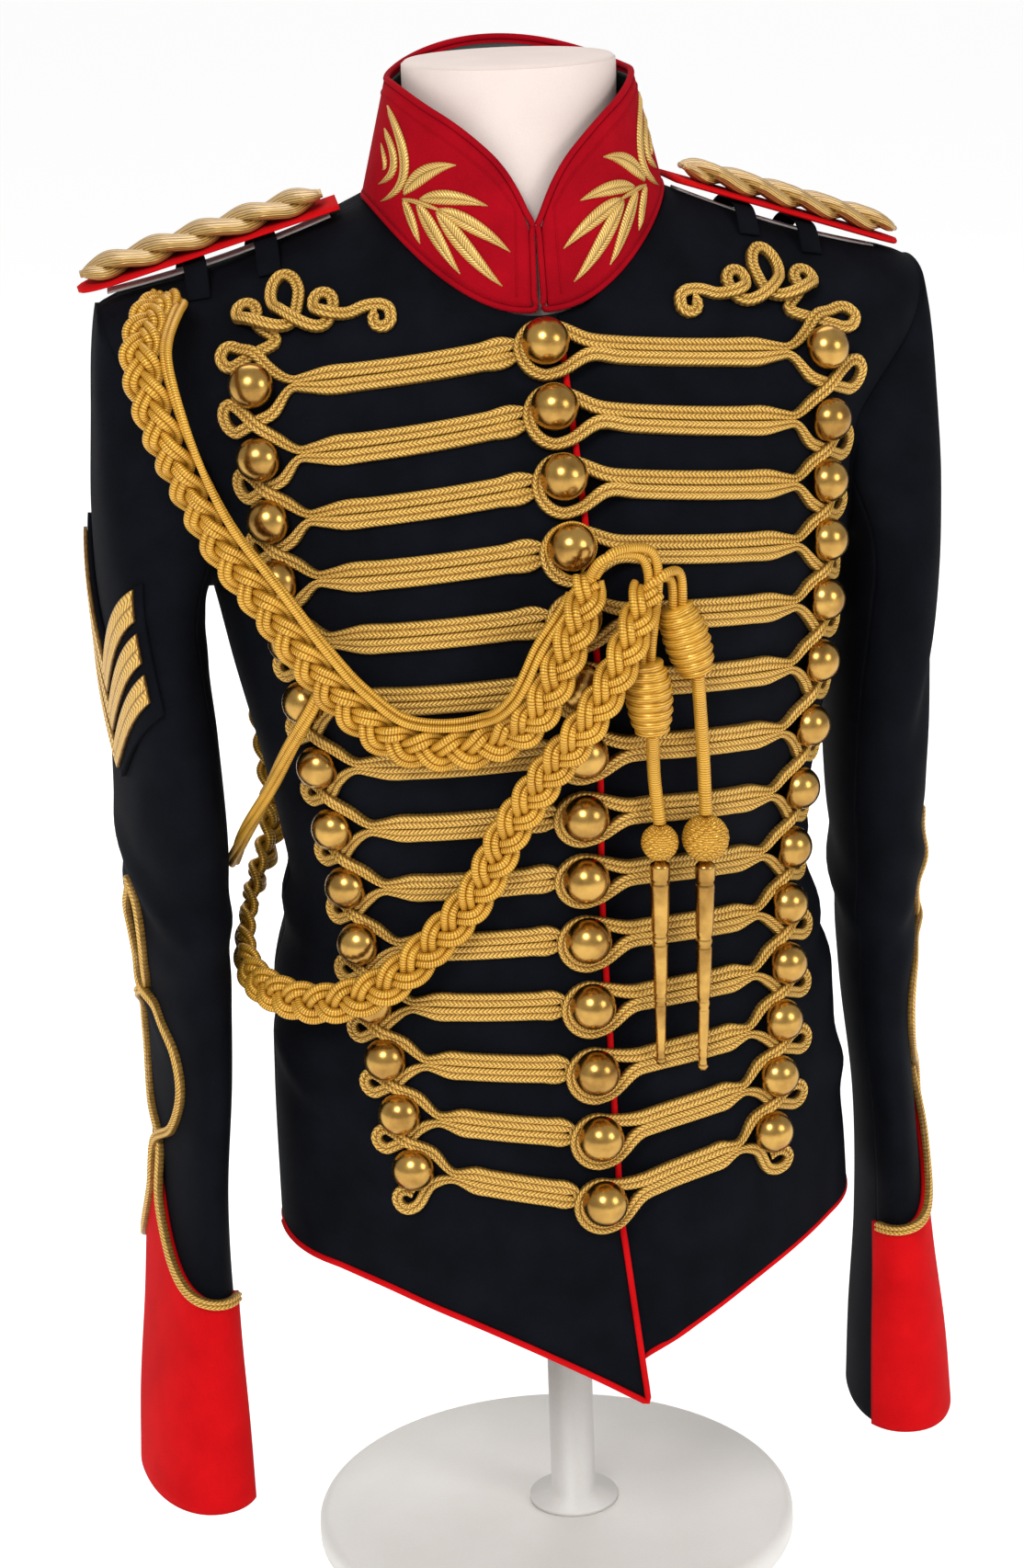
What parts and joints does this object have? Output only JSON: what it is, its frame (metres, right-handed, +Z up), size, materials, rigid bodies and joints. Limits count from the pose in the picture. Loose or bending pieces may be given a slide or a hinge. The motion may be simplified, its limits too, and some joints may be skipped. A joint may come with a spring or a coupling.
{
  "type": "full-dress military jacket on a limbless dress form",
  "caption": "Full-dress jacket with standing collar, gold-laced chest, shoulder cords, plaited cords and red cuffs, worn by a limbless dress form on a round stand.",
  "frame": {"origin": "middle of the round base's underside, on the floor", "axes": "+Z up, the jacket faces -Y, +X is the wearer's left"},
  "size_m": [0.465, 0.2902, 0.8331],
  "materials": {
    "wool": "blue-black wool",
    "scarlet": "scarlet felt",
    "crimson": "crimson felt",
    "lining": "dark satin",
    "lace": "gold braid",
    "cord": "gold gimp cord",
    "brass": "polished brass",
    "linen": "off-white linen",
    "stand": "satin paint"
  },
  "bodies": {
    "root": {"front_right": "wool", "front_left": "wool", "back": "wool", "chevron_backing": "wool", "sleeve_outer_right": "wool", "sleeve_outer_left": "wool", "sleeve_under_right": "wool", "sleeve_under_left": "wool", "shoulder_bridle_right_1": "wool", "shoulder_bridle_right_2": "wool", "shoulder_bridle_left_1": "wool", "shoulder_bridle_left_2": "wool", "collar_piping": "scarlet", "piping_right": "scarlet", "piping_left": "scarlet", "piping_back": "scarlet", "cuff_right": "scarlet", "cuff_left": "scarlet", "shoulder_board_right": "scarlet", "shoulder_board_left": "scarlet", "collar": "crimson", "collar_lining": "lining", "lacing_right": "lace", "lacing_left": "lace", "chevron_stripe_1": "lace", "chevron_stripe_2": "lace", "chevron_stripe_3": "lace", "sleeve_braid_right": "lace", "sleeve_braid_left": "lace", "shoulder_cord_right": "cord", "shoulder_cord_left": "cord", "plait_front": "cord", "cord_front": "cord", "plait_under_arm": "cord", "cord_under_arm": "cord", "hanging_knot_1": "cord", "hanging_knot_2": "cord", "hanging_cord_1": "cord", "hanging_cord_2": "cord", "hanging_ball_1": "cord", "hanging_ball_2": "cord", "front_button_01": "brass", "front_button_02": "brass", "front_button_03": "brass", "front_button_04": "brass", "front_button_05": "brass", "front_button_06": "brass", "front_button_07": "brass", "front_button_08": "brass", "front_button_09": "brass", "front_button_10": "brass", "front_button_11": "brass", "front_button_12": "brass", "front_button_13": "brass", "front_button_14": "brass", "hanging_tag_1": "brass", "hanging_tag_2": "brass", "dress_form": "linen", "stand_pole": "stand", "stand_base": "stand"}
  },
  "joints": []
}
